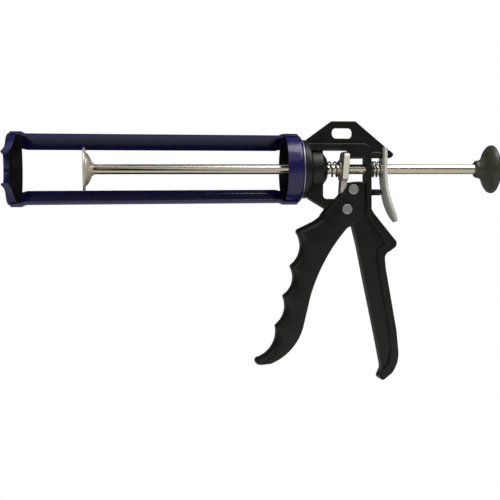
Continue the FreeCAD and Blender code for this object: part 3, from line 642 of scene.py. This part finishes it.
# ------------------------------------------------------------------ plunger dish
# The dish that pushes the cartridge's piston: a zinc-plated stamping with a turned-up rim and a
# dome that runs back to the rod.  It is held on the rod's stud between a collar and a nut.

low, high = (Vector(corner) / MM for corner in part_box("plunger_dish"))
rim_front, dish_back, dish_radius = low.x, high.x, high.z
flange = rim_front + 2.1
GAUGE = 1.2
DOME_FOOT = 13.2
DOME_RISE = 7.0
dome = [(flange + (dish_back - flange) * share / 12, DOME_FOOT - DOME_RISE * (share / 12) ** 1.7)
        for share in range(13)]
hollow = [(x - GAUGE, r - 0.45) for x, r in reversed(dome)]
profile = [(dish_back - GAUGE, 3.05), (dish_back, 3.05)]
profile += list(reversed(dome))
profile += [
    (flange + 0.05, 14.2), (flange - 0.05, dish_radius - 1.0), (flange - 0.5, dish_radius - 0.3),
    (rim_front + 0.9, dish_radius), (rim_front + 0.2, dish_radius),
    (rim_front, dish_radius - 0.3), (rim_front, dish_radius - 0.7),
    (rim_front + 0.25, dish_radius - 1.0), (flange - GAUGE + 0.15, dish_radius - 1.5),
    (flange - GAUGE, dish_radius - 2.2), (flange - GAUGE, 13.6)]
profile += hollow
dish = lathe("plunger_stamping", profile, steps=128)
dish_zinc = zinc_plate("dish_zinc", "#d6cdb4", "#ebe4d0", 0.26, 6.0, metallic=0.45)
fit(dish, "rod", "bright_steel", dish_zinc, "plunger_dish")
hub = rounded(copy_of("plunger_hub", "plunger_collar"), 0.5)
fit(hub, "rod", "bright_steel", dish_zinc, "plunger_hub")
nut = rounded(copy_of("plunger_nut", "plunger_lock_nut"), 0.4)
fit(nut, "rod", "bright_steel", plated, "plunger_nut")


# ------------------------------------------------------------------ pull knob
# A mushroom of moulded black plastic on the rod's end, to draw the plunger back.  Ribs round
# its neck stiffen it and give the fingers a hold.

def gloss_moulding():
    """Polypropylene with a polished mould: dark grey-green black and soft broad lights."""
    material, tree, shader, coords = new_finish("gloss_moulding", {
        "IOR": 1.49, "Coat Weight": 0.15, "Coat Roughness": 0.2})
    patches = mottle(tree, shader, coords, 11.0, "#3a392d", "#4a483a")
    uneven_gloss(tree, shader, (patches, "Fac"), 0.28, 0.4)
    fine_relief(tree, shader, coords, 2.2, 1.0, 0.03)
    return material


def rib_tree(material):
    """Geometry nodes for a ring of ribs: one rounded rib on each point of a circle about X."""
    tree = bpy.data.node_groups.new("neck_ribs", "GeometryNodeTree")
    tree.interface.new_socket("Geometry", in_out="OUTPUT", socket_type="NodeSocketGeometry")
    tree.interface.new_socket("Count", in_out="INPUT", socket_type="NodeSocketInt")
    for name in ("Ring Radius", "Rib Radius", "Place", "Length"):
        tree.interface.new_socket(name, in_out="INPUT", socket_type="NodeSocketFloat")
    sizes = add(tree, "NodeGroupInput")
    circle = add(tree, "GeometryNodeMeshCircle",
                 links={"Vertices": (sizes, "Count"), "Radius": (sizes, "Ring Radius")})
    spot = add(tree, "ShaderNodeCombineXYZ", links={"X": (sizes, "Place")})
    upright = add(tree, "GeometryNodeTransform", {"Rotation": (0, math.pi / 2, 0)},
                  {"Geometry": (circle, "Mesh"), "Translation": (spot, "Vector")})
    ball = add(tree, "GeometryNodeMeshIcoSphere", {"Subdivisions": 3},
               {"Radius": (sizes, "Rib Radius")})
    stretch = add(tree, "ShaderNodeCombineXYZ", {"Y": 1.0, "Z": 1.0}, {"X": (sizes, "Length")})
    lozenge = add(tree, "GeometryNodeTransform",
                  links={"Geometry": (ball, "Mesh"), "Scale": (stretch, "Vector")})
    ribs = add(tree, "GeometryNodeInstanceOnPoints",
               links={"Points": (upright, "Geometry"), "Instance": (lozenge, "Geometry")})
    real = add(tree, "GeometryNodeRealizeInstances", links={"Geometry": (ribs, "Instances")})
    smooth = add(tree, "GeometryNodeSetShadeSmooth", links={"Geometry": (real, "Geometry")})
    dressed = add(tree, "GeometryNodeSetMaterial", {"Material": material},
                  {"Geometry": (smooth, "Geometry")})
    add(tree, "NodeGroupOutput", links={"Geometry": (dressed, "Geometry")})
    return tree


low, high = (Vector(corner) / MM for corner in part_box("pull_knob"))
front, rear = low.x, high.x
knob_outline = walk([
    (front, 3.9), (front + 12, 3.9), (front + 12, 0), (rear, 0, 36.7), (rear - 2.2, 12.5, 26),
    (rear - 5.2, 18.6, 2.4), (rear - 8.0, 19.5, 3.2), (rear - 10.4, 17.9, 12),
    (rear - 13.4, 11.6, -9), (front + 2.4, 6.9, 2.0), (front, 6.0)], step=0.7)
knob = lathe("pull_knob_moulding", [tuple(point) for point, corner in knob_outline], steps=128)
moulding = gloss_moulding()
fit(knob, "rod", "black_plastic", moulding, "pull_knob")
ribs = grown("pull_knob_ribs", rib_tree(moulding), {
    "Count": 10, "Ring Radius": 5.9 * MM, "Rib Radius": 1.3 * MM, "Place": (front + 2.2) * MM,
    "Length": 1.5})
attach(ribs, "rod")


# ------------------------------------------------------------------ release lever
# A bent strip of dull zinc-plated steel, forked over the tongue at its top.  Pressed with the
# thumb it straightens on the rod and lets it run back.

def dull_zinc():
    """Barrel-plated zinc with its chromate: grey-green, mottled and hazy."""
    material, tree, shader, coords = new_finish("dull_zinc", {"Metallic": 0.05})
    patches = mottle(tree, shader, coords, 5.0, "#e0dfd2", "#f2f1e6")
    uneven_gloss(tree, shader, (patches, "Fac"), 0.36, 0.52)
    fine_relief(tree, shader, coords, 0.8, 4.0, 0.03)
    return material


lever = rounded(copy_of("release_lever", "release_lever_strip"), 0.45)
fit(lever, "release_lever", "zinc_lever", dull_zinc(), "release_lever")


# ------------------------------------------------------------------ studio
# A white floor just under the handle's toe, a white room, four soft lamps and the camera.  Floor
# and room are plain white to the camera and darker, lit surfaces to what the metal reflects.

def white_unless_reflected(tree, reflected):
    """White to the camera, and a darker lit surface to everything that reflects it."""
    seen = add(tree, "ShaderNodeLightPath")
    return add(tree, "ShaderNodeMix", {"data_type": "RGBA", 7: (1.0, 1.0, 1.0, 1.0)},
               {0: (seen, "Is Camera Ray"), 6: reflected})


def lit_paper():
    """White paper under the gun, lit from overhead so that its light falls away outwards."""
    material = bpy.data.materials.new("lit_paper")
    material.use_nodes = True
    tree = material.node_tree
    tree.nodes.clear()
    place = add(tree, "ShaderNodeTexCoord")
    pool = add(tree, "ShaderNodeMapping", {"Location": (0.0, 0.34, 0.0), "Scale": (0.5, 1.0, 1.0)},
               {"Vector": (place, "Object")})
    away = add(tree, "ShaderNodeVectorMath", {"operation": "LENGTH"}, {0: (pool, "Vector")})
    light = add(tree, "ShaderNodeMapRange", {"interpolation_type": "SMOOTHSTEP", "From Min": 0.26,
                                             "From Max": 0.42, "To Min": 0.6, "To Max": 0.2},
                {"Value": (away, "Value")})
    shown = white_unless_reflected(tree, (light, "Result"))
    glow = add(tree, "ShaderNodeEmission", links={"Color": (shown, 2)})
    add(tree, "ShaderNodeOutputMaterial", links={"Surface": (glow, "Emission")})
    return material


visual_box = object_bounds()
FLOOR_GAP = 0.3 * MM
bpy.ops.mesh.primitive_plane_add(size=30, location=(0.2, 0, visual_box[0].z - FLOOR_GAP))
floor = bpy.context.object
floor.name = "floor"
floor.data.materials.append(lit_paper())

world = bpy.data.worlds.new("room")
world.use_nodes = True
bpy.context.scene.world = world
tree = world.node_tree
tree.nodes.clear()
direction = add(tree, "ShaderNodeTexCoord")
parts = add(tree, "ShaderNodeSeparateXYZ", links={0: (direction, "Generated")})
ceiling = add(tree, "ShaderNodeMapRange", {"interpolation_type": "SMOOTHSTEP", "From Min": 0.36,
                                           "From Max": 0.5, "To Min": 0.0, "To Max": 0.36},
              {"Value": (parts, "Z")})
forward = add(tree, "ShaderNodeMapRange", {"interpolation_type": "SMOOTHSTEP", "From Min": 0.2,
                                           "From Max": -0.2, "To Min": 0.0, "To Max": 1.0},
              {"Value": (parts, "Y")})
lamps = add(tree, "ShaderNodeMath", {"operation": "MULTIPLY_ADD", 2: 0.06},
            {0: (ceiling, "Result"), 1: (forward, "Result")})
shown = white_unless_reflected(tree, (lamps, 0))
glow = add(tree, "ShaderNodeBackground", {"Strength": 1.0}, {"Color": (shown, 2)})
add(tree, "ShaderNodeOutputWorld", links={"Surface": (glow, "Background")})


def soft_box(name, place, target, width, depth, radiance, mirrored=True):
    """An area light aimed at a point, as bright as its radiance says; one that isn't mirrored
    stands behind a diffuser too wide and dim to be made out in the metal."""
    light = bpy.data.lights.new(name, "AREA")
    light.shape = "RECTANGLE"
    light.size = width
    light.size_y = depth
    light.energy = radiance * math.pi * width * depth
    lamp = bpy.data.objects.new(name, light)
    lamp.visible_glossy = mirrored
    lamp.location = place
    lamp.rotation_euler = (Vector(target) - Vector(place)).to_track_quat("-Z", "Y").to_euler()
    bpy.context.scene.collection.objects.link(lamp)


middle = (0.2, 0, -0.03)
soft_box("overhead_light", (0.75, -0.3, 1.0), middle, 0.9, 0.9, 3.4)
soft_box("ceiling_bounce", (0.15, -0.15, 1.2), middle, 0.9, 0.9, 2.6, mirrored=False)
soft_box("strip_light", (0.1, -1.05, 0.56), middle, 0.5, 0.03, 7.0)
soft_box("front_fill", (-0.3, -1.0, 0.25), middle, 0.5, 0.5, 1.3, mirrored=False)

EYE = (0.07568, -0.9364, -0.04046)
LENS = 84.96
SENSOR_WIDTH = 36.0
YAW = math.radians(6.91)
PITCH = math.radians(1.456)
ROLL = math.radians(-0.298)
ahead = Vector((math.sin(YAW) * math.cos(PITCH), math.cos(YAW) * math.cos(PITCH),
                -math.sin(PITCH)))
level = Vector((math.cos(YAW), -math.sin(YAW), 0))
upward = level.cross(ahead)
right = level * math.cos(ROLL) + upward * math.sin(ROLL)
up = upward * math.cos(ROLL) - level * math.sin(ROLL)
camera = bpy.data.objects.new("camera", bpy.data.cameras.new("camera"))
bpy.context.scene.collection.objects.link(camera)
camera.data.sensor_width = SENSOR_WIDTH
camera.data.lens = LENS
camera.data.clip_start = 0.01
camera.data.clip_end = 100.0
view_axes = Matrix((right, up, -ahead)).transposed().to_4x4()
camera.matrix_world = Matrix.Translation(EYE) @ view_axes
bpy.context.scene.camera = camera
bpy.context.scene.view_settings.view_transform = "Standard"
